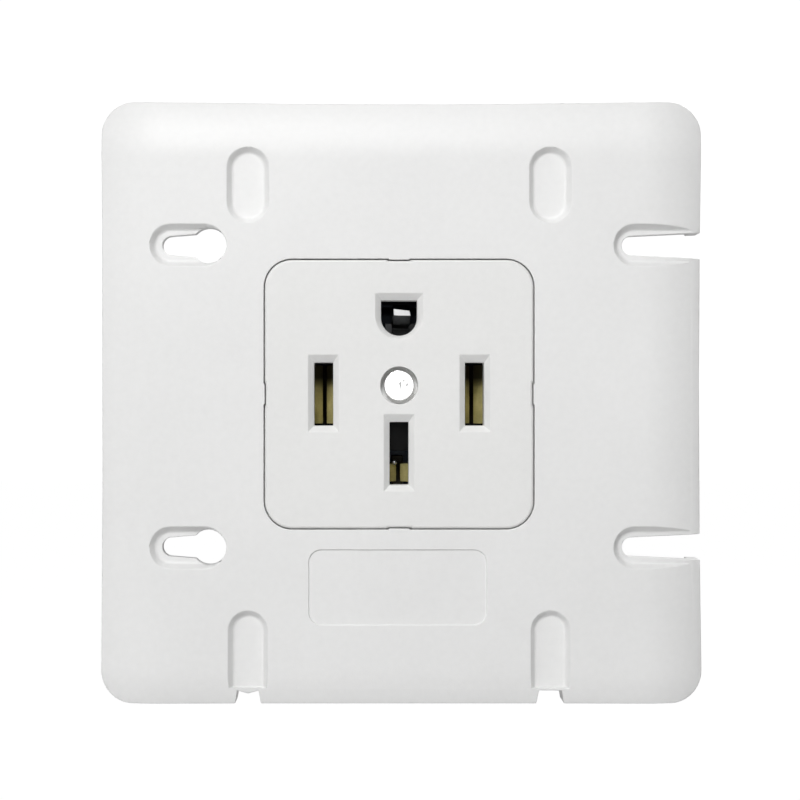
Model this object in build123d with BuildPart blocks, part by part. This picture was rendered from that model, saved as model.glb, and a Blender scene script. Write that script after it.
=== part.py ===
from build123d import *
import math
import os

# A flush range receptacle with four openings, set in its own square wall plate.
# All sizes are in millimetres. X points to the right of someone who faces the outlet, Z points up
# and Y points into the wall. The wall's surface is the plane Y = 0, behind the middle of the plate,
# so the plate stands in front of it and the contact block reaches behind it.

# Wall plate
plate_side = 114.5
plate_corner = 6.0
plate_height = 7.0
plate_wall = 2.4
rim_wall = 2.2
border_reach = 11.3
bottom_reach = 6.5
border_radius = 26.0
top_bow = 0.7
right_bow = 0.65
left_bow = 0.35
bottom_bow = 0.1
outline_shift = 0.5
plate_rib = 1.2
rib_spread = 18.0
rib_setback = 1.0

# Height of the receptacle and of the screw pattern over the middle of the plate
device_rise = 1.4
pattern_rise = 1.0

# Receptacle face and the window that holds it
face_side = 50.8
face_corner = 5.2
face_lip = 2.4
face_bevel = 0.35
window_gap = 0.2
ledge_reach = 1.8
ledge_thickness = 2.5
face_back_gap = 0.1
key_width = 3.9
key_depth = 0.2

# Openings in the face
line_spacing = 28.6
neutral_drop = 11.25
ground_rise = 14.5
slot_width = 3.6
slot_length = 11.95
slot_side_bevel = 1.1
slot_top_bevel = 1.5
slot_bottom_bevel = 1.15
bevel_depth = 1.2
pin_width = 6.85
pin_top = 3.25
pin_side_bevel = 1.1
pin_top_bevel = 1.35
pin_bottom_bevel = 0.75

# Centre rivet and its washer
centre_rise = 1.65
head_well_radius = 3.55
head_sink = 1.0
head_radius = 2.9
head_height = 1.6
shank_radius = 1.75
shank_gap = 0.2
washer_radius = 4.0
washer_thickness = 0.8
washer_gap = 0.15
washer_hole_gap = 0.05
web_back = 6.0
rivet_tail_radius = 3.0
rivet_tail_height = 1.2

# Screw pattern of the plate: recesses, seats, entries and open slots
pattern_spacing = 57.2
seat_spacing = 87.2
seat_radius = 1.8
neck_half_width = 2.4
entry_radius = 3.35
entry_offset = 7.1
slot_mouth = 4.9
recess_depth = 1.6
recess_width = 8.0
bottom_recess_width = 7.5
recess_length = 14.4
recess_draft = 30.0
recess_floor_round = 0.7
recess_back_wall = 2.2
closed_recess_start = 32.8
open_recess_start = 40.5
bottom_rim = 3.0
notch_height = 2.6
left_notch_width = 4.0
right_notch_width = 4.35
notch_flare = 0.6
notch_tongue = 0.6

# Shallow panel under the receptacle
panel_width = 33.6
panel_height = 14.2
panel_corner = 2.4
panel_depth = 0.35
panel_drop = 36.5
panel_shift = -0.3

# Contact housing and terminal base
housing_side = 56.0
housing_corner = 3.5
housing_depth = 16.0
base_depth = 16.0
housing_gap = 0.3
collar_wall = 1.6
collar_setback = 0.3
block_bevel = 0.8
well_width = 10.8
line_well_height = 13.8
neutral_well_height = 15.8
neutral_well_drop = 1.6
ground_well_height = 13.4

# Contacts: two leaves that pinch the blade and join in one tail
strip = 1.1
lip_half_gap = 2.1
pinch_half_gap = 0.25
shoulder_half_gap = 3.0
lip_setback = 3.0
lip_length = 3.0
spring_arm = 4.0
neck_length = 2.0
neck_seam = 0.9
bend_radius = 0.7
line_leaf_width = 11.3
narrow_leaf_width = 3.4
neutral_leaf_drop = 4.0
ground_leaf_shift = 0.6
ground_leaf_drop = 1.4
tail_width = 6.0
tail_gap = 0.1
tail_end_setback = 1.0

# Steel springs behind the leaves
spring_strip = 0.5
spring_gap = 0.05
spring_lip = 1.6
spring_width = 8.0
spring_pinch_bend = 1.0

# Wire lugs and their screws
lug_length = 10.0
lug_width = 10.0
lug_setback = 1.0
lug_inner_wall = 1.2
lug_web = 0.8
lug_outer_wall = 3.3
lug_gap = 0.2
lug_bevel = 0.4
wire_radius = 3.3
wire_screw_radius = 3.0
wire_screw_length = 4.5
wire_screw_gap = 0.1
wire_screw_sink = 0.3
wire_screw_slot = 1.0
wire_screw_slot_depth = 1.4
driver_gap = 0.5

# Screws that hold the terminal base to the contact housing
base_screw_inset = 4.6
base_screw_radius = 1.7
base_screw_reach = 9.0
base_head_radius = 3.0
base_head_height = 2.0
base_head_sink = 0.5
base_head_gap = 0.3
base_slot = 0.9
base_slot_depth = 1.0

# Depths along Y that several pieces share
plate_front = -plate_height
skin_back = plate_front + plate_wall
ledge_front = plate_front + face_lip
housing_front = ledge_front + ledge_thickness
housing_back = housing_front + housing_depth
base_back = housing_back + base_depth
recess_floor = plate_front + recess_depth
contact_front = housing_front + lip_setback
pinch_depth = contact_front + lip_length
shoulder_depth = pinch_depth + spring_arm
spring_base_front = housing_back - spring_gap - spring_strip
leaf_end = spring_base_front - spring_gap
neck_back = leaf_end - neck_seam
neck_front = neck_back - neck_length
lug_back = base_back - lug_setback
lug_front = lug_back - lug_length
tail_end = lug_back - tail_end_setback
bay_front = lug_front - lug_gap

# Distances from the middle of a contact's tail to the features of its lug
tail_half = strip + tail_gap
lug_inner = tail_half + lug_inner_wall
wire_offset = tail_half + lug_web + wire_radius
lug_outer = wire_offset + wire_radius + lug_outer_wall
wire_screw_start = wire_offset + wire_radius + wire_screw_sink

# Room to run cutters past a surface
clear = 1.0


def at_depth(y, x=0.0, z=0.0):
    """A plane parallel to the wall, facing the room, with its own y upwards."""
    return Plane(origin=(x, y, z), x_dir=(1, 0, 0), z_dir=(0, -1, 0))


def save(piece, name):
    """Label a finished piece and write it under its name."""
    piece.label = name
    export_step(piece, f"parts/{name}.step")


def plate_outline(inset=0.0):
    """The plate's square outline, whose sides draw in a little between the corners."""
    half = plate_side / 2 - inset
    with BuildSketch() as outline:
        with BuildLine():
            Bezier((-half, -half), (0, 2 * bottom_bow - half), (half, -half))
            Bezier((half, -half), (half - 2 * right_bow, 0), (half, half))
            Bezier((half, half), (0, half - 2 * top_bow), (-half, half))
            Bezier((-half, half), (2 * left_bow - half, 0), (-half, -half))
        make_face()
        fillet(outline.vertices(), plate_corner - inset)
    return outline.sketch.moved(Location((outline_shift, 0, 0)))


def cushion(front):
    """Everything behind a front that is flat in the middle and falls away in a large arc at its border."""
    spread = border_radius - border_reach
    width = plate_side + 2 * spread
    top = plate_side / 2 + spread
    bottom = -plate_side / 2 - border_radius + bottom_reach
    depth = 1.5 * border_radius
    with BuildPart() as body:
        with BuildSketch(at_depth(front + depth, outline_shift, (top + bottom) / 2)):
            Rectangle(width, top - bottom)
        extrude(amount=depth)
        front_edges = body.edges().group_by(Axis.Y)[0]
        fillet(front_edges + body.edges().filter_by(Axis.Y), border_radius)
    return body.part


def recess_cutter(length, width, flat_end):
    """A recess with sloping walls and a rounded floor. It starts at the origin and runs along +X."""
    slope = math.tan(math.radians(recess_draft))
    mouth_spread = clear * slope
    floor_shrink = recess_depth * slope
    full = length + width if flat_end else length
    with BuildPart() as cutter:
        with BuildSketch(at_depth(plate_front - clear, full / 2)):
            SlotOverall(full + 2 * mouth_spread, width + 2 * mouth_spread)
        with BuildSketch(at_depth(recess_floor, full / 2)):
            SlotOverall(full - 2 * floor_shrink, width - 2 * floor_shrink)
        loft()
        fillet(cutter.edges().group_by(Axis.Y)[-1], recess_floor_round)
        if flat_end:
            split(bisect_by=Plane(origin=(length, 0, 0), z_dir=(-1, 0, 0)), keep=Keep.TOP)
    return cutter.part


def recess_pad(length, width):
    """The thickening behind a recess that keeps the plate's wall there."""
    margin = recess_depth
    with BuildPart() as pad:
        with BuildSketch(at_depth(recess_floor + recess_back_wall, length / 2)):
            SlotOverall(length + 2 * margin, width + 2 * margin)
        extrude(amount=recess_back_wall)
    return pad.part


def recess_places():
    """Each recess: its length and width, whether its end is flat, and its start turned outwards."""
    right_length = plate_side / 2 + recess_width - open_recess_start
    top = pattern_rise + closed_recess_start
    bottom = pattern_rise - open_recess_start
    bottom_length = bottom + plate_side / 2 - bottom_rim
    places = []
    for side in (-1, 1):
        row = pattern_rise + side * pattern_spacing / 2
        column = side * pattern_spacing / 2
        left_start = Location((-closed_recess_start, 0, row), (0, 180, 0))
        right_start = Location((open_recess_start, 0, row))
        top_start = Location((column, 0, top), (0, -90, 0))
        bottom_start = Location((column, 0, bottom), (0, 90, 0))
        places.append((recess_length, recess_width, False, left_start))
        places.append((right_length, recess_width, False, right_start))
        places.append((recess_length, recess_width, False, top_start))
        places.append((bottom_length, bottom_recess_width, True, bottom_start))
    return places


def bevelled_slot(width, length):
    """Cutter for an upright slot through the face with a sloping lead-in, centred on the origin."""
    grow = 1 + clear / bevel_depth
    with BuildPart() as cutter:
        with BuildSketch(at_depth(housing_front)):
            Rectangle(width, length)
        extrude(amount=housing_front - plate_front)
        with BuildSketch(at_depth(plate_front + bevel_depth)):
            Rectangle(width, length)
        with BuildSketch(at_depth(plate_front - clear)):
            with Locations((0, (slot_top_bevel - slot_bottom_bevel) * grow / 2)):
                end_growth = (slot_top_bevel + slot_bottom_bevel) * grow
                Rectangle(width + 2 * slot_side_bevel * grow, length + end_growth)
        loft()
    return cutter.part


def ground_outline(spread=0.0, top_spread=0.0, bottom_spread=0.0):
    """The ground opening: flat at the top and round at the bottom."""
    half = pin_width / 2 + spread
    top = pin_top + top_spread
    bottom = -pin_width / 2 - bottom_spread
    with BuildSketch() as outline:
        with BuildLine():
            Polyline((-half, 0), (-half, top), (half, top), (half, 0))
            ThreePointArc((half, 0), (0, bottom), (-half, 0))
        make_face()
    return outline.sketch


def ground_cutter():
    """Cutter for the ground opening with its sloping lead-in, centred on its round end."""
    grow = 1 + clear / bevel_depth
    with BuildPart() as cutter:
        with BuildSketch(at_depth(housing_front)):
            add(ground_outline())
        extrude(amount=housing_front - plate_front)
        with BuildSketch(at_depth(plate_front + bevel_depth)):
            add(ground_outline())
        with BuildSketch(at_depth(plate_front - clear)):
            add(ground_outline(pin_side_bevel * grow, pin_top_bevel * grow, pin_bottom_bevel * grow))
        loft()
    return cutter.part


def leaf_path(cut_lip=0.0):
    """Inner face of the right leaf, from its flared lip past the pinch to the shoulder."""
    share = cut_lip / lip_length
    lip_x = lip_half_gap + (pinch_half_gap - lip_half_gap) * share
    lip_y = contact_front + lip_length * share
    return [
        (lip_x, lip_y),
        (pinch_half_gap, pinch_depth),
        (shoulder_half_gap, shoulder_depth),
    ]


def contact_body(plane, leaf_width):
    """Two leaves that pinch the blade, come together behind it and run on as one tail."""
    points = leaf_path() + [(shoulder_half_gap, neck_front), (0, neck_back), (0, leaf_end)]
    with BuildPart() as contact:
        with BuildSketch(plane):
            with BuildLine():
                FilletPolyline(*points, radius=bend_radius)
                offset(amount=strip, side=Side.RIGHT)
            make_face()
            mirror(about=Plane.YZ)
        extrude(amount=leaf_width / 2, both=True)
        with BuildSketch(plane):
            with Locations((0, neck_back)):
                Rectangle(2 * strip, tail_end - neck_back, align=(Align.CENTER, Align.MIN))
        extrude(amount=tail_width / 2, both=True)
    return contact.part


def moved_right(points, distance):
    """The corners of a line of straight runs after the line has moved to its right by a distance."""
    runs = [(Vector(*end) - Vector(*start)).normalized() for start, end in zip(points, points[1:])]
    sides = [Vector(run.Y, -run.X) for run in runs]
    before = [sides[0]] + sides
    after = sides + [sides[-1]]
    corners = []
    for point, one, other in zip(points, before, after):
        corners.append(Vector(*point) + (one + other) * (distance / (1 + one.dot(other))))
    return [(corner.X, corner.Y) for corner in corners]


def spring_body(plane, leaf_width):
    """Steel spring that hugs both leaves from outside, with a window for the tail in its base."""
    gap = strip + spring_gap
    base = spring_base_front - gap
    leaf_side = leaf_path(lip_length - spring_lip) + [(shoulder_half_gap, base), (0, base)]
    inside = moved_right(leaf_side, gap)
    outer_bend = bend_radius + gap
    with BuildPart() as spring:
        with BuildSketch(plane):
            with BuildLine():
                FilletPolyline(*inside, radius=[spring_pinch_bend, outer_bend, outer_bend])
                offset(amount=spring_strip, side=Side.RIGHT)
            make_face()
        extrude(amount=spring_width / 2, both=True)
        middle = Plane(origin=plane.origin, x_dir=(0, 1, 0), z_dir=plane.x_dir)
        mirror(about=middle)
        # Arms no wider than the leaves
        for side in (-1, 1):
            with BuildSketch(plane.offset(side * min(leaf_width, spring_width) / 2)):
                with Locations((0, shoulder_depth)):
                    Rectangle(4 * shoulder_half_gap, 2 * spring_arm, align=(Align.CENTER, Align.MAX))
            extrude(amount=side * spring_width, mode=Mode.SUBTRACT)
        with BuildSketch(plane):
            with Locations((0, housing_back)):
                Rectangle(2 * tail_half, 4 * spring_strip)
        extrude(amount=tail_width / 2 + tail_gap, both=True, mode=Mode.SUBTRACT)
    return spring.part


def contact_plane(x, z, across):
    """Plane through the middle of a contact: its own x runs across the gap, its own y towards the wall."""
    turn = across.cross(Vector(0, 1, 0))
    return Plane(origin=(x, 0, z), x_dir=across, z_dir=turn)


def lug_body(plane):
    """Wire lug on the tail: a slot for the tail, the wire's bore and the tapped hole of its screw."""
    middle = (lug_front + lug_back) / 2
    with BuildPart() as lug:
        with BuildSketch(plane):
            with Locations(((lug_outer - lug_inner) / 2, middle)):
                Rectangle(lug_outer + lug_inner, lug_length)
        extrude(amount=lug_width / 2, both=True)
        chamfer(lug.edges(), lug_bevel)
        with BuildSketch(plane):
            with Locations((0, middle)):
                Rectangle(2 * tail_half, 2 * lug_length)
        extrude(amount=tail_width / 2 + tail_gap, both=True, mode=Mode.SUBTRACT)
        across = Plane(origin=plane.from_local_coords((0, 0, 0)), x_dir=plane.x_dir, z_dir=(0, 1, 0))
        with BuildSketch(across.offset(lug_front)):
            with Locations((wire_offset, 0)):
                Circle(wire_radius)
        extrude(amount=lug_length, mode=Mode.SUBTRACT)
        lug_side = plane.from_local_coords((lug_outer, middle, 0))
        with BuildSketch(Plane(origin=lug_side, x_dir=(0, 1, 0), z_dir=plane.x_dir)):
            Circle(wire_screw_radius + wire_screw_gap)
        extrude(amount=-(lug_outer - wire_offset), mode=Mode.SUBTRACT)
    return lug.part


def lug_screw_body(plane):
    """Slotted headless screw that presses the wire against the tail."""
    middle = (lug_front + lug_back) / 2
    start = plane.from_local_coords((wire_screw_start, middle, 0))
    with BuildPart() as screw:
        with BuildSketch(Plane(origin=start, x_dir=(0, 1, 0), z_dir=plane.x_dir)):
            Circle(wire_screw_radius)
        extrude(amount=wire_screw_length)
        chamfer(screw.edges().filter_by(GeomType.CIRCLE), wire_screw_sink)
        top = plane.from_local_coords((wire_screw_start + wire_screw_length, middle, 0))
        with BuildSketch(Plane(origin=top, x_dir=(0, 1, 0), z_dir=plane.x_dir)):
            Rectangle(2 * clear + 2 * wire_screw_radius, wire_screw_slot)
        extrude(amount=-wire_screw_slot_depth, mode=Mode.SUBTRACT)
    return screw.part


os.makedirs("parts", exist_ok=True)

# Each contact with its middle, the direction across its gap and the width of its leaves
right = Vector(1, 0, 0)
left = Vector(-1, 0, 0)
up = Vector(0, 0, 1)
line_x_plane = contact_plane(-line_spacing / 2, device_rise, left)
line_y_plane = contact_plane(line_spacing / 2, device_rise, right)
neutral_plane = contact_plane(0, device_rise - neutral_drop - neutral_leaf_drop, right)
ground_plane = contact_plane(ground_leaf_shift, device_rise + ground_rise - ground_leaf_drop, up)
contacts = {
    "line_x": (line_x_plane, line_leaf_width),
    "line_y": (line_y_plane, line_leaf_width),
    "neutral": (neutral_plane, narrow_leaf_width),
    "ground": (ground_plane, narrow_leaf_width),
}

# Wall plate: a dished shell with a deep rim, moulded in one piece. The frame behind it carries the
# ledge of the window, the collar round the housing, the ribs and the pads behind the recesses.
plate_bulk_front = cushion(plate_front)
plate_bulk_back = cushion(skin_back)
with BuildPart() as plate_bulk:
    with BuildSketch(at_depth(0)):
        add(plate_outline())
    extrude(amount=plate_height)
    add(plate_bulk_front, mode=Mode.INTERSECT)

with BuildPart() as plate_hollow:
    with BuildSketch(at_depth(clear)):
        add(plate_outline(rim_wall))
    extrude(amount=plate_height + clear)
    add(plate_bulk_back, mode=Mode.INTERSECT)

collar_inside = housing_side + 2 * housing_gap
collar_outside = collar_inside + 2 * collar_wall
with BuildPart() as plate_frame:
    with BuildSketch(at_depth(-collar_setback, z=device_rise)):
        RectangleRounded(collar_outside, collar_outside, housing_corner + housing_gap + collar_wall)
    extrude(amount=plate_height - collar_setback)
    with BuildSketch(at_depth(-rib_setback)):
        with Locations((-rib_spread, 0), (rib_spread, 0)):
            Rectangle(plate_rib, plate_side)
        with Locations((0, device_rise - rib_spread), (0, device_rise + rib_spread)):
            Rectangle(plate_side, plate_rib)
    extrude(amount=plate_height - rib_setback)
    for length, width, _, place in recess_places():
        pad = recess_pad(length, width)
        with Locations(place):
            add(pad)
    add(plate_bulk.part, mode=Mode.INTERSECT)

window_side = face_side + 2 * window_gap
window_corner = face_corner + window_gap
ledge_side = window_side - 2 * ledge_reach
ledge_corner = window_corner - ledge_reach
seat_half = seat_spacing / 2
left_seat = outline_shift - seat_half
right_seat = outline_shift + seat_half
entry_middle = left_seat + entry_offset
right_edge = outline_shift + plate_side / 2
rows = [pattern_rise - pattern_spacing / 2, pattern_rise + pattern_spacing / 2]
with BuildPart() as wall_plate:
    add(plate_bulk.part)
    add(plate_hollow.part, mode=Mode.SUBTRACT)
    add(plate_frame.part)
    # Window, its ledge, and the pocket of the collar behind it
    with BuildSketch(at_depth(ledge_front, z=device_rise)):
        RectangleRounded(window_side, window_side, window_corner)
        with Locations((window_side / 2, 0), (-window_side / 2, 0)):
            Rectangle(2 * key_depth, key_width, mode=Mode.SUBTRACT)
        with Locations((0, window_side / 2), (0, -window_side / 2)):
            Rectangle(key_width, 2 * key_depth, mode=Mode.SUBTRACT)
    extrude(amount=face_lip + clear, mode=Mode.SUBTRACT)
    with BuildSketch(at_depth(housing_front, z=device_rise)):
        RectangleRounded(ledge_side, ledge_side, ledge_corner)
    extrude(amount=ledge_thickness + clear, mode=Mode.SUBTRACT)
    with BuildSketch(at_depth(clear, z=device_rise)):
        RectangleRounded(collar_inside, collar_inside, housing_corner + housing_gap)
    extrude(amount=clear - housing_front, mode=Mode.SUBTRACT)
    # Recesses for the heads of the wall screws
    for length, width, flat_end, place in recess_places():
        cutter = recess_cutter(length, width, flat_end)
        with Locations(place):
            add(cutter, mode=Mode.SUBTRACT)
    # Keyholes at the left and open slots at the right
    with BuildSketch(at_depth(clear)):
        for row in rows:
            with Locations((entry_middle, row)):
                Circle(entry_radius)
            with Locations((left_seat, row), (right_seat, row)):
                Circle(seat_radius)
            with BuildLine():
                Polyline(
                    (left_seat, row + seat_radius),
                    (entry_middle, row + neck_half_width),
                    (entry_middle, row - neck_half_width),
                    (left_seat, row - seat_radius),
                    close=True,
                )
            make_face()
            with BuildLine():
                Polyline(
                    (right_seat, row + seat_radius),
                    (right_edge, row + slot_mouth / 2),
                    (right_edge + clear, row + slot_mouth / 2),
                    (right_edge + clear, row - slot_mouth / 2),
                    (right_edge, row - slot_mouth / 2),
                    (right_seat, row - seat_radius),
                    close=True,
                )
            make_face()
    extrude(amount=plate_height + 2 * clear, mode=Mode.SUBTRACT)
    # Notches in the bottom rim under the open recesses
    with BuildSketch(at_depth(clear)):
        foot = -plate_side / 2
        for side, width, tongue in ((-1, left_notch_width, notch_tongue), (1, right_notch_width, 0)):
            middle = side * pattern_spacing / 2
            with BuildLine():
                Polyline(
                    (middle - width / 2, foot + notch_height),
                    (middle, foot + notch_height - tongue),
                    (middle + width / 2, foot + notch_height),
                    (middle + width / 2 + notch_flare, foot - clear),
                    (middle - width / 2 - notch_flare, foot - clear),
                    close=True,
                )
            make_face()
    extrude(amount=plate_height + 2 * clear, mode=Mode.SUBTRACT)
    # Shallow panel
    with BuildSketch(at_depth(plate_front + panel_depth, panel_shift, device_rise - panel_drop)):
        RectangleRounded(panel_width, panel_height, panel_corner)
    extrude(amount=panel_depth + clear, mode=Mode.SUBTRACT)
save(wall_plate.part, "wall_plate")

# Receptacle face: a square insert that drops into the window from the front, its lip on the ledge.
line_cutter = bevelled_slot(slot_width, slot_length)
pin_cutter = ground_cutter()
with BuildPart() as receptacle_face:
    with BuildSketch(at_depth(ledge_front, z=device_rise)):
        RectangleRounded(face_side, face_side, face_corner)
        with Locations((face_side / 2, 0), (-face_side / 2, 0)):
            Rectangle(2 * key_depth, key_width + 2 * window_gap, mode=Mode.SUBTRACT)
        with Locations((0, face_side / 2), (0, -face_side / 2)):
            Rectangle(key_width + 2 * window_gap, 2 * key_depth, mode=Mode.SUBTRACT)
    extrude(amount=face_lip)
    chamfer(receptacle_face.edges().group_by(Axis.Y)[0], face_bevel)
    back_side = ledge_side - 2 * window_gap
    with BuildSketch(at_depth(housing_front - face_back_gap, z=device_rise)):
        RectangleRounded(back_side, back_side, ledge_corner - window_gap)
    extrude(amount=ledge_thickness - face_back_gap)
    with Locations((-line_spacing / 2, 0, device_rise), (line_spacing / 2, 0, device_rise)):
        add(line_cutter, mode=Mode.SUBTRACT)
    with Locations((0, 0, device_rise - neutral_drop)):
        add(line_cutter, mode=Mode.SUBTRACT)
    with Locations((0, 0, device_rise + ground_rise)):
        add(pin_cutter, mode=Mode.SUBTRACT)
    with BuildSketch(at_depth(plate_front + head_sink + head_height, z=device_rise + centre_rise)):
        Circle(head_well_radius)
    extrude(amount=head_sink + head_height + clear, mode=Mode.SUBTRACT)
    with BuildSketch(at_depth(housing_front, z=device_rise + centre_rise)):
        Circle(shank_radius + shank_gap)
    extrude(amount=plate_height, mode=Mode.SUBTRACT)
save(receptacle_face.part, "receptacle_face")

# Centre rivet: its flat round head is sunk in the face, and its tail is set over the washer behind the
# housing's web, which keeps face, plate and housing together.
washer_back = web_back + washer_thickness
head_seat = plate_front + head_sink + head_height
with BuildPart() as centre_rivet:
    with BuildSketch(at_depth(washer_back, z=device_rise + centre_rise)):
        Circle(shank_radius)
    extrude(amount=washer_back - head_seat)
    with BuildSketch(at_depth(head_seat, z=device_rise + centre_rise)):
        Circle(head_radius)
    extrude(amount=head_height)
    with BuildSketch(at_depth(washer_back + rivet_tail_height, z=device_rise + centre_rise)):
        Circle(rivet_tail_radius)
    extrude(amount=rivet_tail_height)
    chamfer(centre_rivet.edges().group_by(Axis.Y)[0], face_bevel)
    chamfer(centre_rivet.edges().group_by(Axis.Y)[-1], face_bevel)
save(centre_rivet.part, "centre_rivet")

with BuildPart() as rivet_washer:
    with BuildSketch(at_depth(washer_back, z=device_rise + centre_rise)):
        Circle(washer_radius)
        Circle(shank_radius + washer_hole_gap, mode=Mode.SUBTRACT)
    extrude(amount=washer_thickness)
save(rivet_washer.part, "rivet_washer")

# Contact housing: a moulded block with a well for each contact, a pocket for the washer and holes for
# the base's screws. The wells are open to the face in front and closed by the terminal base behind.
screw_square = housing_side - 2 * base_screw_inset
with BuildPart() as contact_housing:
    with BuildSketch(at_depth(housing_back, z=device_rise)):
        RectangleRounded(housing_side, housing_side, housing_corner)
    extrude(amount=housing_depth)
    chamfer(contact_housing.edges().group_by(Axis.Y)[0], block_bevel)
    with BuildSketch(at_depth(housing_back, z=device_rise)):
        with Locations((-line_spacing / 2, 0), (line_spacing / 2, 0)):
            Rectangle(well_width, line_well_height)
        with Locations((0, -neutral_drop - neutral_well_drop)):
            Rectangle(well_width, neutral_well_height)
        with Locations((0, ground_rise)):
            Rectangle(well_width, ground_well_height)
        with Locations((0, centre_rise)):
            Circle(shank_radius + shank_gap)
    extrude(amount=housing_depth, mode=Mode.SUBTRACT)
    with BuildSketch(at_depth(housing_back, z=device_rise + centre_rise)):
        Circle(washer_radius + washer_gap)
    extrude(amount=housing_back - web_back, mode=Mode.SUBTRACT)
    with BuildSketch(at_depth(housing_back, z=device_rise)):
        with GridLocations(screw_square, screw_square, 2, 2):
            Circle(base_screw_radius + spring_gap)
    extrude(amount=base_screw_reach + clear, mode=Mode.SUBTRACT)
save(contact_housing.part, "contact_housing")

# Terminal base: closes the wells from behind, lets the tails through its slits and holds the lugs in
# wells open to the back. A round hole in its side leads a driver to each wire screw.
with BuildPart() as terminal_base:
    with BuildSketch(at_depth(base_back, z=device_rise)):
        RectangleRounded(housing_side, housing_side, housing_corner)
    extrude(amount=base_depth)
    chamfer(terminal_base.edges().group_by(Axis.Y)[-1], block_bevel)
    for plane, _ in contacts.values():
        bay_middle = (bay_front + base_back + clear) / 2
        with BuildSketch(plane):
            with Locations(((lug_outer - lug_inner) / 2, bay_middle)):
                Rectangle(lug_outer + lug_inner + 2 * lug_gap, base_back + clear - bay_front)
        extrude(amount=lug_width / 2 + lug_gap, both=True, mode=Mode.SUBTRACT)
        with BuildSketch(plane):
            with Locations((0, housing_back)):
                Rectangle(2 * tail_half, base_depth)
        extrude(amount=tail_width / 2 + tail_gap, both=True, mode=Mode.SUBTRACT)
        lug_side = plane.from_local_coords((lug_outer, (lug_front + lug_back) / 2, 0))
        with BuildSketch(Plane(origin=lug_side, x_dir=(0, 1, 0), z_dir=plane.x_dir)):
            Circle(wire_screw_radius + driver_gap)
        extrude(amount=housing_side, mode=Mode.SUBTRACT)
    with BuildSketch(at_depth(base_back, z=device_rise)):
        with GridLocations(screw_square, screw_square, 2, 2):
            Circle(base_head_radius + base_head_gap)
    extrude(amount=base_head_height + base_head_sink, mode=Mode.SUBTRACT)
    with BuildSketch(at_depth(base_back, z=device_rise)):
        with GridLocations(screw_square, screw_square, 2, 2):
            Circle(base_screw_radius + shank_gap)
    extrude(amount=base_depth, mode=Mode.SUBTRACT)
save(terminal_base.part, "terminal_base")

# Contacts, their springs, lugs and wire screws
for name, (plane, leaf_width) in contacts.items():
    save(contact_body(plane, leaf_width), f"{name}_contact")
    save(spring_body(plane, leaf_width), f"{name}_spring")
    save(lug_body(plane), f"{name}_lug")
    save(lug_screw_body(plane), f"{name}_lug_screw")

# Screws that hold the terminal base to the contact housing
base_screw_seat = base_back - base_head_sink - base_head_height
corners = [(x, z) for z in (1, -1) for x in (-1, 1)]
for number, (x, z) in enumerate(corners, start=1):
    across = x * screw_square / 2
    height = device_rise + z * screw_square / 2
    with BuildPart() as base_screw:
        with BuildSketch(at_depth(base_screw_seat, across, height)):
            Circle(base_screw_radius)
        extrude(amount=base_screw_seat - housing_back + base_screw_reach)
        with BuildSketch(at_depth(base_screw_seat + base_head_height, across, height)):
            Circle(base_head_radius)
        extrude(amount=base_head_height)
        chamfer(base_screw.edges().group_by(Axis.Y)[-1], face_bevel)
        with BuildSketch(at_depth(base_screw_seat + base_head_height, across, height)):
            Rectangle(2 * base_head_radius, base_slot)
        extrude(amount=base_slot_depth, mode=Mode.SUBTRACT)
    save(base_screw.part, f"base_screw_{number}")
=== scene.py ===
import math

import bmesh
import bpy
from mathutils import Matrix, Vector


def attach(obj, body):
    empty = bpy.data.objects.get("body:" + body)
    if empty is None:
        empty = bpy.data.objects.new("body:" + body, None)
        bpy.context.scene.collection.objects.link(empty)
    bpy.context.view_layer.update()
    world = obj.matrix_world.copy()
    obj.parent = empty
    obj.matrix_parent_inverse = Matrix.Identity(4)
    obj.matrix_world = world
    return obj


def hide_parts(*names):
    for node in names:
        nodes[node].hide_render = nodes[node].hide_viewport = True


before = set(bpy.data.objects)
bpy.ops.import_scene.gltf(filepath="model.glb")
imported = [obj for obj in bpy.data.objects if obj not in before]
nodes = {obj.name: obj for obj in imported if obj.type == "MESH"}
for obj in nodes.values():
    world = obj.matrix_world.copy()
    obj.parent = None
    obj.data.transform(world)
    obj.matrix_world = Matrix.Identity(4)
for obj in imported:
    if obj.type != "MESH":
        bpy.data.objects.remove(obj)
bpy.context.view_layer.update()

# Camera. It looks straight at the plate from about a forearm away, a little to the left of its middle,
# so that each slot shows more of its right wall than of its left one.
picture_width = 0.1511
picture_middle = Vector((0.00015, -0.007, 0.0003))
camera_distance = 0.315
camera_aside = -0.0066

lens = bpy.data.cameras.new("camera")
lens.sensor_width = 36
lens.lens = lens.sensor_width * camera_distance / picture_width
lens.shift_x = (picture_middle.x - camera_aside) / picture_width
lens.clip_start = 0.01
camera = bpy.data.objects.new("camera", lens)
camera.location = (camera_aside, picture_middle.y - camera_distance, picture_middle.z)
camera.rotation_euler = (math.pi / 2, 0, 0)
bpy.context.scene.collection.objects.link(camera)
bpy.context.scene.camera = camera


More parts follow.
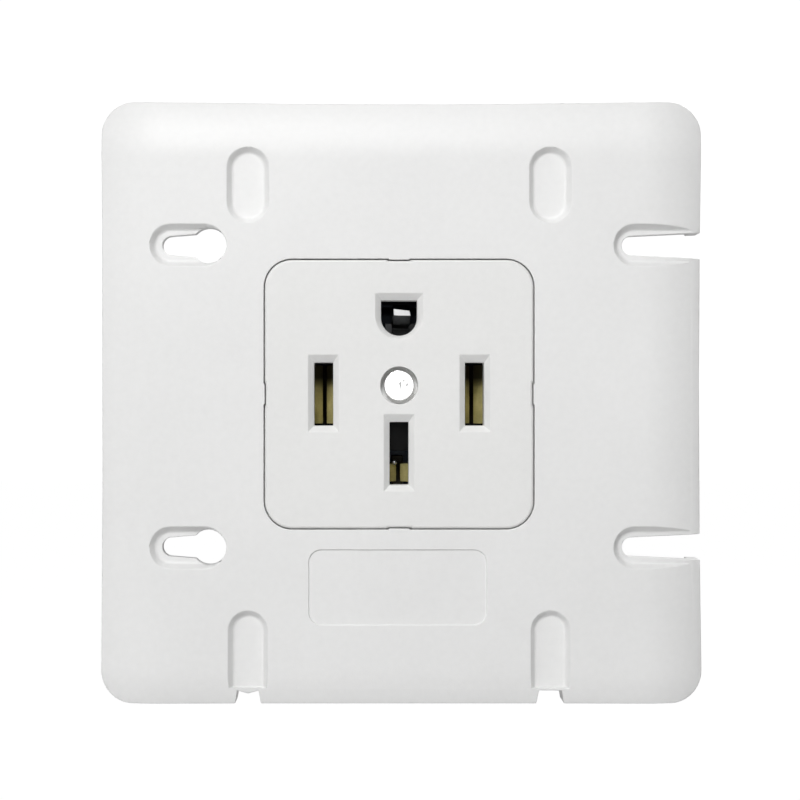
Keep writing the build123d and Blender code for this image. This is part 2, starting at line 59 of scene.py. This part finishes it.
# Wall plate: one injection moulding in white thermoplastic. Its sharp mould edges are broken a little, its
# skin is satin, and it shows the faint clouds and the fine rub marks of a plate that has been handled.
class Stuff:
    """A value, place, colour or shape on its way through a node tree, so that it reads as arithmetic."""

    def __init__(self, tree, socket=None):
        self.tree = tree
        self.socket = socket

    def make(self, kind, settings, sockets, give=0):
        """Adds a node, sets it up, fills or joins its sockets, and gives what one of its outputs holds."""
        node = self.tree.nodes.new(kind)
        for name, setting in settings.items():
            setattr(node, name, setting)
        for name, value in sockets.items():
            if isinstance(name, int):
                socket = node.inputs[name]
            else:
                socket = next(s for s in node.inputs if name in (s.identifier, s.name))
            if isinstance(value, Stuff):
                self.tree.links.new(value.socket, socket)
            else:
                socket.default_value = value
        return Stuff(self.tree, node.outputs[give])

    def sum(self, operation, *values):
        return self.make("ShaderNodeMath", {"operation": operation}, dict(enumerate(values)))

    def __add__(self, other):
        return self.sum("ADD", self, other)

    def __sub__(self, other):
        return self.sum("SUBTRACT", self, other)

    def __rsub__(self, other):
        return self.sum("SUBTRACT", other, self)

    def __mul__(self, other):
        return self.sum("MULTIPLY", self, other)

    __radd__ = __add__
    __rmul__ = __mul__

    def between(self, low, high):
        """How far the value lies on the way from low to high, kept from 0 to 1."""
        ends = {"Value": self, "From Min": low, "From Max": high}
        return self.make("ShaderNodeMapRange", {"clamp": True}, ends)

    def along(self, axis):
        """One coordinate of a place, in metres."""
        return self.make("ShaderNodeSeparateXYZ", {}, {"Vector": self}, axis)

    def noise(self, size, detail, stretch=(1, 1, 1)):
        """Random clouds about as large as size, in metres, from 0 to 1."""
        place = self.make("ShaderNodeMapping", {}, {"Vector": self, "Scale": stretch})
        return self.make("ShaderNodeTexNoise", {}, {"Vector": place, "Scale": 1 / size, "Detail": detail})

    def tint(self, dark, light):
        """The colour that lies between two colours, where the first one may itself vary."""
        start = dark if isinstance(dark, Stuff) else (*dark, 1)
        ends = {"Factor_Float": self, "A_Color": start, "B_Color": (*light, 1)}
        colour_output = 2
        return self.make("ShaderNodeMix", {"data_type": "RGBA"}, ends, colour_output)


def start_finish(name):
    """A new material: its Principled shader and the place of each point in the object's frame."""
    material = bpy.data.materials.new(name)
    material.use_nodes = True
    shader = material.node_tree.nodes["Principled BSDF"]
    place = Stuff(material.node_tree).make("ShaderNodeTexCoord", {}, {}, "Object")
    return material, shader, place


def end_finish(shader, place, colour, roughness, height, bump):
    """Joins the varying colour, roughness and height, whose bump is in metres, to the shader."""
    place.tree.links.new(colour.socket, shader.inputs["Base Color"])
    place.tree.links.new(roughness.socket, shader.inputs["Roughness"])
    relief = place.make("ShaderNodeBump", {}, {"Height": height, "Strength": 1.0, "Distance": bump})
    place.tree.links.new(relief.socket, shader.inputs["Normal"])


def white_plastic(name, dark, light):
    """Satin white moulding: broad clouds, fine specks, mould grain and rub marks that run across."""
    material, shader, place = start_finish(name)
    clouds = place.noise(0.03, 3)
    specks = place.noise(0.0012, 3)
    grain = place.noise(0.00022, 2)
    rubs = place.noise(0.006, 4, (1, 1, 7)).between(0.55, 0.8)
    shade = 0.6 * clouds + 0.4 * specks
    shader.inputs["IOR"].default_value = 1.5
    shader.inputs["Specular IOR Level"].default_value = 0.42
    roughness = 0.36 + 0.12 * clouds + 0.06 * specks + 0.08 * rubs
    grain_depth = 0.000012
    end_finish(shader, place, shade.tint(dark, light), roughness, grain + 0.6 * specks, grain_depth)
    return material


def stand_for(name, mesh, *pieces):
    """A finished piece in the scene, shown in place of its CAD node where it has one."""
    piece = bpy.data.objects.new(name, mesh)
    bpy.context.scene.collection.objects.link(piece)
    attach(piece, "root")
    if pieces:
        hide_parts(*pieces)
    return piece


def joined_copy(name, cad_node):
    """A copy of a CAD node as one clean mesh: loose triangles joined, flat runs made whole."""
    joint = 2e-6
    flat = math.radians(0.4)
    work = bmesh.new()
    work.from_mesh(nodes[cad_node].data)
    bmesh.ops.remove_doubles(work, verts=work.verts, dist=joint)
    bmesh.ops.dissolve_limit(work, angle_limit=flat, verts=work.verts, edges=work.edges)
    mesh = bpy.data.meshes.new(name)
    work.to_mesh(mesh)
    work.free()
    return stand_for(name, mesh, cad_node)


def break_edges(piece, width, clamp=True):
    """Rounds the sharp edges by a small width and shades the rest smooth."""
    for polygon in piece.data.polygons:
        polygon.use_smooth = True
    bevel = piece.modifiers.new("edges", "BEVEL")
    bevel.width = width
    bevel.segments = 2
    bevel.limit_method = "ANGLE"
    bevel.angle_limit = math.radians(32)
    bevel.use_clamp_overlap = clamp
    bevel.harden_normals = True
    normals = piece.modifiers.new("shading", "WEIGHTED_NORMAL")
    normals.keep_sharp = True


def give(piece, material, slot):
    """Puts a finish on a piece; slot, the record's slot that it stands for, is not used."""
    piece.data.materials.clear()
    piece.data.materials.append(material)


plate_edge = 0.00017
plate_white = white_plastic("plate_white", (0.765, 0.765, 0.76), (0.88, 0.88, 0.875))
plate = joined_copy("plate", "wall_plate")
break_edges(plate, plate_edge, clamp=False)
give(plate, plate_white, "plate_plastic")

# Receptacle face: a second white moulding that drops into the plate's window from the front. It rests on
# the window's ledge, four small keys stop it from turning, and the seam shows as a thin line.
face_edge = 0.00015
face_white = white_plastic("face_white", (0.755, 0.755, 0.745), (0.87, 0.87, 0.86))
face = joined_copy("face", "receptacle_face")
break_edges(face, face_edge, clamp=False)
give(face, face_white, "face_plastic")


# Contact housing and terminal base: two blocks of black moulding compound, hard and faintly glossy, with
# grey flow marks and light dust. The base closes the housing's wells from behind.
def black_compound(name, dark, light):
    """Black moulding compound: flow marks in clouds, fine specks and patches of dust."""
    material, shader, place = start_finish(name)
    clouds = place.noise(0.012, 4)
    specks = place.noise(0.0004, 2)
    dust = place.noise(0.004, 5).between(0.5, 0.9)
    shade = 0.5 * clouds + 0.3 * specks + 0.3 * dust
    roughness = 0.38 + 0.15 * clouds + 0.1 * dust
    speck_depth = 0.00001
    end_finish(shader, place, shade.tint(dark, light), roughness, specks + clouds, speck_depth)
    return material


block_edge = 0.0002
compound = black_compound("black_compound", (0.010, 0.011, 0.0125), (0.036, 0.039, 0.043))
for name, cad_node, slot in (
    ("housing", "contact_housing", "housing_phenolic"),
    ("base", "terminal_base", "base_phenolic"),
):
    block = joined_copy(name, cad_node)
    break_edges(block, block_edge)
    give(block, compound, slot)


# Line and neutral contacts: leaves of rolled brass strip, folded so that two of them pinch each blade. The
# rolling left fine lines, and painted shade darkens the strip deep in the wells and high up in the slots.
def rolled_metal(name, dark, light, rough, line_size, stain_rough, metallic=1.0, painted_shade_colour=None):
    """Rolled or drawn metal: fine lines along the depth, stains, and painted shade deep in and high up when a
    shade colour is given.
    """
    material, shader, place = start_finish(name)
    lines = place.noise(line_size, 2, (1, 0.05, 1))
    stain = place.noise(0.0035, 4).between(0.35, 0.75)
    shade = 0.45 * lines + 0.55 * stain
    shader.inputs["Metallic"].default_value = metallic
    roughness = rough + 0.14 * lines + stain_rough * stain
    colour = shade.tint(dark, light)
    if painted_shade_colour:
        # Painted shade: the colour turns to the shade colour deeper in along Y and higher up along Z.
        deep_shade = place.along("Y").between(0.0045, 0.0075)
        high_shade = place.along("Z").between(0.0026, 0.0046)
        colour = deep_shade.sum("MAXIMUM", deep_shade, 0.95 * high_shade).tint(colour, painted_shade_colour)
    line_depth = 0.000006
    end_finish(shader, place, colour, roughness, lines, line_depth)
    return material


leaf_edge = 0.00012
brass_dark = (0.41, 0.365, 0.14)
brass_light = (0.82, 0.73, 0.34)
# Colour of the painted shade on the deep and high parts of the brass leaves.
brass_painted_shade = (0.05, 0.042, 0.02)
brass = rolled_metal("old_brass", brass_dark, brass_light, 0.46, 0.00025, 0.12, 0.2, brass_painted_shade)
for name in ("line_x", "line_y", "neutral"):
    leaves = joined_copy(f"{name}_leaves", f"{name}_contact")
    break_edges(leaves, leaf_edge)
    give(leaves, brass, "contact_brass")

# Ground contact: the same folded strip in nickel plate, turned so that its leaves lie one above the other.
# The upper leaf ends in a small land that was sheared flat and lights up when one looks into the opening.
nickel = rolled_metal("nickel_plate", (0.12, 0.125, 0.13), (0.30, 0.30, 0.30), 0.32, 0.0003, 0.1)
ground_leaves = joined_copy("ground_leaves", "ground_contact")
break_edges(ground_leaves, leaf_edge)
give(ground_leaves, nickel, "ground_contact_metal")

sheared, shader, place = start_finish("sheared_nickel")
shader.inputs["Metallic"].default_value = 1.0
tears = place.noise(0.0006, 3, (1, 1, 0.2))
tear_depth = 0.000004
colour = tears.tint((0.80, 0.80, 0.80), (0.97, 0.97, 0.96))
end_finish(shader, place, colour, 0.24 + 0.12 * tears, tears, tear_depth)


def face_outwards(mesh):
    """Turns all faces of a closed mesh to point outwards."""
    work = bmesh.new()
    work.from_mesh(mesh)
    bmesh.ops.recalc_face_normals(work, faces=work.faces)
    work.to_mesh(mesh)
    work.free()


land_front = 0.00092
land_back = 0.00125
land_edge = 0.00006
land_outline = [(-0.00098, 0.01798), (0.00216, 0.01762), (0.00236, 0.01657), (-0.00089, 0.01667)]
land_mesh = bpy.data.meshes.new("ground_land")
land_mesh.from_pydata(
    [(x, y, z) for y in (land_front, land_back) for x, z in land_outline],
    [],
    [(0, 3, 2, 1), (4, 5, 6, 7), (0, 1, 5, 4), (1, 2, 6, 5), (2, 3, 7, 6), (3, 0, 4, 7)],
)
face_outwards(land_mesh)
land = stand_for("ground_land", land_mesh)
break_edges(land, land_edge)
give(land, sheared, "ground_contact_metal")

# Springs: clips of hardened steel strip that hug the leaves from outside and press them together. The tip
# of the neutral one is rounded to a small bright bead, which shows just above the brass.
spring_edge = 0.00006
# Spring steel given a dark blue-grey colour, darker than bright spring steel.
spring_steel = rolled_metal("dark_spring_steel", (0.035, 0.042, 0.05), (0.11, 0.125, 0.145), 0.42, 0.0002, 0.15)
for name in ("line_x", "line_y", "neutral", "ground"):
    clip = joined_copy(f"{name}_clip", f"{name}_spring")
    break_edges(clip, spring_edge)
    give(clip, spring_steel, "spring_steel")

bead_radius = 0.0005
bead_place = Matrix.Translation((-0.00077, 0.0026, -0.0119))
work = bmesh.new()
bmesh.ops.create_icosphere(work, subdivisions=3, radius=bead_radius, matrix=bead_place)
bead_mesh = bpy.data.meshes.new("neutral_bead")
work.to_mesh(bead_mesh)
work.free()
for polygon in bead_mesh.polygons:
    polygon.use_smooth = True
bead = stand_for("neutral_bead", bead_mesh)
give(bead, sheared, "spring_steel")

# Wire lugs: sawn from drawn aluminium bar and tin plated, with the wire's bore from behind and a tapped
# hole in the side for the screw that presses on the wire.
lug_edge = 0.0002
lug_metal = rolled_metal("tinned_lug", (0.50, 0.50, 0.50), (0.80, 0.80, 0.79), 0.3, 0.0004, 0.12)
for name in ("line_x", "line_y", "neutral", "ground"):
    lug = joined_copy(f"{name}_connector", f"{name}_lug")
    break_edges(lug, lug_edge)
    give(lug, lug_metal, "lug_aluminium")


# Wire screws: short slotted set screws of turned aluminium, one in the side of each lug. A ridge is wound
# round each, cut to the same pitch as the lug's tapped hole, and each stopped at its own angle.
def thread_winder():
    """Geometry nodes that wind one ridge round an axis, from a single point on, out of named sizes."""
    tree = bpy.data.node_groups.new("wound_thread", "GeometryNodeTree")
    inlets = [("Geometry", "Geometry")]
    inlets += [(name, "Float") for name in ("Radius", "Ridge", "Length", "Pitch")]
    inlets += [("Direction", "Vector"), ("Finish", "Material")]
    for name, kind in inlets:
        tree.interface.new_socket(name, in_out="INPUT", socket_type=f"NodeSocket{kind}")
    tree.interface.new_socket("Geometry", in_out="OUTPUT", socket_type="NodeSocketGeometry")
    entry = tree.nodes.new("NodeGroupInput")
    inlet_sockets = entry.outputs[:len(inlets)]
    point, radius, ridge, length, pitch, direction, finish = (Stuff(tree, socket) for socket in inlet_sockets)
    path_sizes = {
        "Resolution": 28,
        "Rotations": length.sum("DIVIDE", length, pitch),
        "Start Radius": radius,
        "End Radius": radius,
        "Height": length,
    }
    path = length.make("GeometryNodeCurveSpiral", {}, path_sizes)
    path = path.make("GeometryNodeSetCurveNormal", {"mode": "Z_UP"}, {"Curve": path})
    profile_sizes = {"Resolution": 4, "Radius": ridge}
    profile = ridge.make("GeometryNodeCurvePrimitiveCircle", {"mode": "RADIUS"}, profile_sizes)
    sweep = {"Curve": path, "Profile Curve": profile, "Fill Caps": True}
    wound = path.make("GeometryNodeCurveToMesh", {}, sweep)
    turn = direction.make("FunctionNodeAlignRotationToVector", {"axis": "Z"}, {"Vector": direction})
    seat = {"Points": point, "Instance": wound, "Rotation": turn}
    thread = point.make("GeometryNodeInstanceOnPoints", {}, seat)
    thread = thread.make("GeometryNodeRealizeInstances", {}, {"Geometry": thread})
    thread = thread.make("GeometryNodeSetMaterial", {}, {"Geometry": thread, "Material": finish})
    leave = tree.nodes.new("NodeGroupOutput")
    tree.links.new(thread.socket, leave.inputs["Geometry"])
    return tree


def wind_thread(name, start, end, core, ridge, material, slot):
    """One screw's ridge as a piece of its own, wound from start to end along the screw's axis."""
    start_mesh = bpy.data.meshes.new(f"{name}_start")
    start_mesh.from_pydata([start], [], [])
    helper = bpy.data.objects.new(f"{name}_start", start_mesh)
    bpy.context.scene.collection.objects.link(helper)
    winding = helper.modifiers.new("winding", "NODES")
    winding.node_group = winder
    axis = end - start
    sizes = {
        "Radius": core,
        "Ridge": ridge,
        "Length": axis.length,
        "Pitch": thread_pitch,
        "Direction": axis,
        "Finish": material,
    }
    for item in winder.interface.items_tree:
        if item.in_out == "INPUT" and item.name in sizes:
            winding[item.identifier] = sizes[item.name]
    wound = helper.evaluated_get(bpy.context.evaluated_depsgraph_get())
    mesh = bpy.data.meshes.new_from_object(wound)
    mesh.name = name
    bpy.data.objects.remove(helper)
    face_outwards(mesh)
    give(stand_for(name, mesh), material, slot)


def turned_screw(name, cad_node, centre, axis, angle, shank, core, cut):
    """A screw's copy at its own angle, its shank cut down to the thread's core along a part of its axis."""
    near = 1e-5
    screw = joined_copy(name, cad_node)
    work = bmesh.new()
    work.from_mesh(screw.data)
    for end in cut:
        everything = work.verts[:] + work.edges[:] + work.faces[:]
        place = centre + axis * end
        bmesh.ops.bisect_plane(work, geom=everything, dist=1e-6, plane_co=place, plane_no=axis)
    turn = Matrix.Rotation(math.radians(angle), 3, axis)
    bmesh.ops.rotate(work, cent=centre, matrix=turn, verts=work.verts)
    for vertex in work.verts:
        along = (vertex.co - centre).dot(axis)
        foot = centre + axis * along
        out = vertex.co - foot
        if cut[0] - near < along < cut[1] + near and abs(out.length - shank) < 5 * near:
            vertex.co = foot + out * (core / shank)
    work.to_mesh(screw.data)
    work.free()
    return screw


winder = thread_winder()
thread_pitch = 0.0008
wire_screw_radius = 0.003
wire_screw_core = 0.00268
wire_screw_ridge = 0.0003
wire_screw_cut = (0.0003, 0.0042)
wire_thread_ends = (0.0006, 0.0039)
wire_screw_edge = 0.00008
wire_screws = (
    ("line_x", (-0.0232, 0.0239, 0.0014), (-1, 0, 0), 24),
    ("line_y", (0.0232, 0.0239, 0.0014), (1, 0, 0), -38),
    ("neutral", (0.0089, 0.0239, -0.01385), (1, 0, 0), 71),
    ("ground", (0.0006, 0.0239, 0.0234), (0, 0, 1), 8),
)
for name, centre, axis, angle in wire_screws:
    centre, axis = Vector(centre), Vector(axis)
    turning = (centre, axis, angle, wire_screw_radius, wire_screw_core, wire_screw_cut)
    screw = turned_screw(f"{name}_wire_screw", f"{name}_lug_screw", *turning)
    break_edges(screw, wire_screw_edge)
    give(screw, lug_metal, "lug_screw_metal")
    start, end = (centre + axis * along for along in wire_thread_ends)
    winding = (start, end, wire_screw_core, wire_screw_ridge)
    wind_thread(f"{name}_wire_thread", *winding, lug_metal, "lug_screw_metal")

# Centre rivet and its washer: the rivet is bright nickel plated steel, and its flat head lies sunk in the
# middle of the face and has a few faint scuffs. Its tail is set over the washer, which is zinc plated.
rivet_edge = 0.00012
washer_edge = 0.0001
bright, shader, place = start_finish("rivet_nickel")
shader.inputs["Metallic"].default_value = 1.0
scuffed_place = (0.0009, -0.006, 0.0033)
away = place.make("ShaderNodeVectorMath", {"operation": "DISTANCE"}, {0: place, 1: scuffed_place}, "Value")
scuffs = place.noise(0.0005, 4, (1, 1, 0.7)).between(0.55, 0.62) * (1 - away.between(0.0007, 0.0012))
haze = place.noise(0.004, 3)
colour = scuffs.tint((0.96, 0.96, 0.955), (0.45, 0.45, 0.45))
scuff_depth = -0.00001
end_finish(shader, place, colour, 0.16 + 0.05 * haze + 0.4 * scuffs, scuffs, scuff_depth)

rivet = joined_copy("rivet", "centre_rivet")
head_front = Vector((0, -0.006, 0.00305))
front_swell = 0.00283 / 0.00255
rim_swell = 0.00288 / 0.002725
front_depth = 1e-5
rim_depth = 0.0002
for vertex in rivet.data.vertices:
    out = vertex.co - head_front
    if abs(out.y) < front_depth:
        vertex.co = head_front + out * front_swell
    elif abs(out.y) < rim_depth:
        vertex.co = head_front + out * rim_swell
break_edges(rivet, rivet_edge)
give(rivet, bright, "rivet_metal")

zinc = rolled_metal("bright_zinc", (0.60, 0.60, 0.59), (0.84, 0.84, 0.83), 0.22, 0.0005, 0.1)
washer = joined_copy("washer", "rivet_washer")
break_edges(washer, washer_edge)
give(washer, zinc, "washer_zinc")

# Base screws: four slotted zinc plated screws, driven from behind, that draw the terminal base against the
# contact housing. Their threads bite in the housing's holes, and each slot stopped at its own angle.
base_screw_tip = 0.0049
base_screw_shank = 0.0017
base_screw_core = 0.00145
base_screw_ridge = 0.00024
base_screw_cut = (0.0, 0.0128)
base_screw_edge = 0.00012
back_thread_ends = (0.0053, 0.0174)
base_screws = (
    (-0.0234, 0.0248, 17),
    (0.0234, 0.0248, -52),
    (-0.0234, -0.022, 83),
    (0.0234, -0.022, -9),
)
for number, (x, z, angle) in enumerate(base_screws, 1):
    centre, axis = Vector((x, base_screw_tip, z)), Vector((0, 1, 0))
    turning = (centre, axis, angle, base_screw_shank, base_screw_core, base_screw_cut)
    screw = turned_screw(f"back_screw_{number}", f"base_screw_{number}", *turning)
    break_edges(screw, base_screw_edge)
    give(screw, zinc, "base_screw_zinc")
    start, end = (Vector((x, y, z)) for y in back_thread_ends)
    winding = (start, end, base_screw_core, base_screw_ridge)
    wind_thread(f"back_thread_{number}", *winding, zinc, "base_screw_zinc")

# Floor and light: a pale floor under the plate, which the camera sees as white, a white room and soft
# lamps: the key in front above, a window at the left, the ceiling, a card behind the camera and a rim
# light behind the plate.
floor_depth = -0.16
floor_reach = 3
floor_mesh = bpy.data.meshes.new("floor")
corners = [(x * floor_reach, y * floor_reach, floor_depth) for x, y in ((-1, -1), (1, -1), (1, 1), (-1, 1))]
floor_mesh.from_pydata(corners, [], [(0, 1, 2, 3)])
floor = bpy.data.objects.new("floor", floor_mesh)
bpy.context.scene.collection.objects.link(floor)
paint, shader, place = start_finish("pale_floor")
shader.inputs["Base Color"].default_value = (0.6, 0.6, 0.6, 1)
shader.inputs["Roughness"].default_value = 0.7
painted = Stuff(place.tree, shader.outputs["BSDF"])
white = place.make("ShaderNodeEmission", {}, {"Color": (1, 1, 1, 1), "Strength": 1.03})
whiteness = 0.97 * place.make("ShaderNodeLightPath", {}, {}, "Is Camera Ray")
surface = place.make("ShaderNodeMixShader", {}, {0: whiteness, 1: painted, 2: white})
place.tree.links.new(surface.socket, place.tree.nodes["Material Output"].inputs["Surface"])
floor.data.materials.append(paint)


def lamp(name, place, size, power):
    """A round soft lamp that points at the middle of the outlet."""
    light = bpy.data.lights.new(name, "AREA")
    light.shape = "DISK"
    light.size = size
    light.energy = power
    stand = bpy.data.objects.new(name, light)
    stand.location = place
    stand.rotation_euler = (-Vector(place)).to_track_quat("-Z", "Y").to_euler()
    bpy.context.scene.collection.objects.link(stand)


lamp("key", (-0.11, -0.665, 0.436), 0.3, 4.5)
lamp("window", (-0.6, -0.5, 0.05), 0.2, 0.6)
lamp("ceiling", (0, -0.3, 0.7), 0.3, 0.55)
lamp("card", (-0.0066, -1.0, 0.05), 0.25, 0.3)
lamp("rim", (0.5, 0.7, 0.6), 0.4, 6.0)

room = bpy.data.worlds.new("white_room")
room.use_nodes = True
background = room.node_tree.nodes["Background"]
background.inputs["Color"].default_value = (1, 1, 1, 1)
sky = Stuff(room.node_tree)
seen = sky.make("ShaderNodeLightPath", {}, {}, "Is Camera Ray")
reflected = sky.make("ShaderNodeLightPath", {}, {}, "Is Glossy Ray")
strength = 0.05 + seen + 0.2 * reflected
room.node_tree.links.new(strength.socket, background.inputs["Strength"])
bpy.context.scene.world = room
bpy.context.scene.view_settings.view_transform = "Standard"
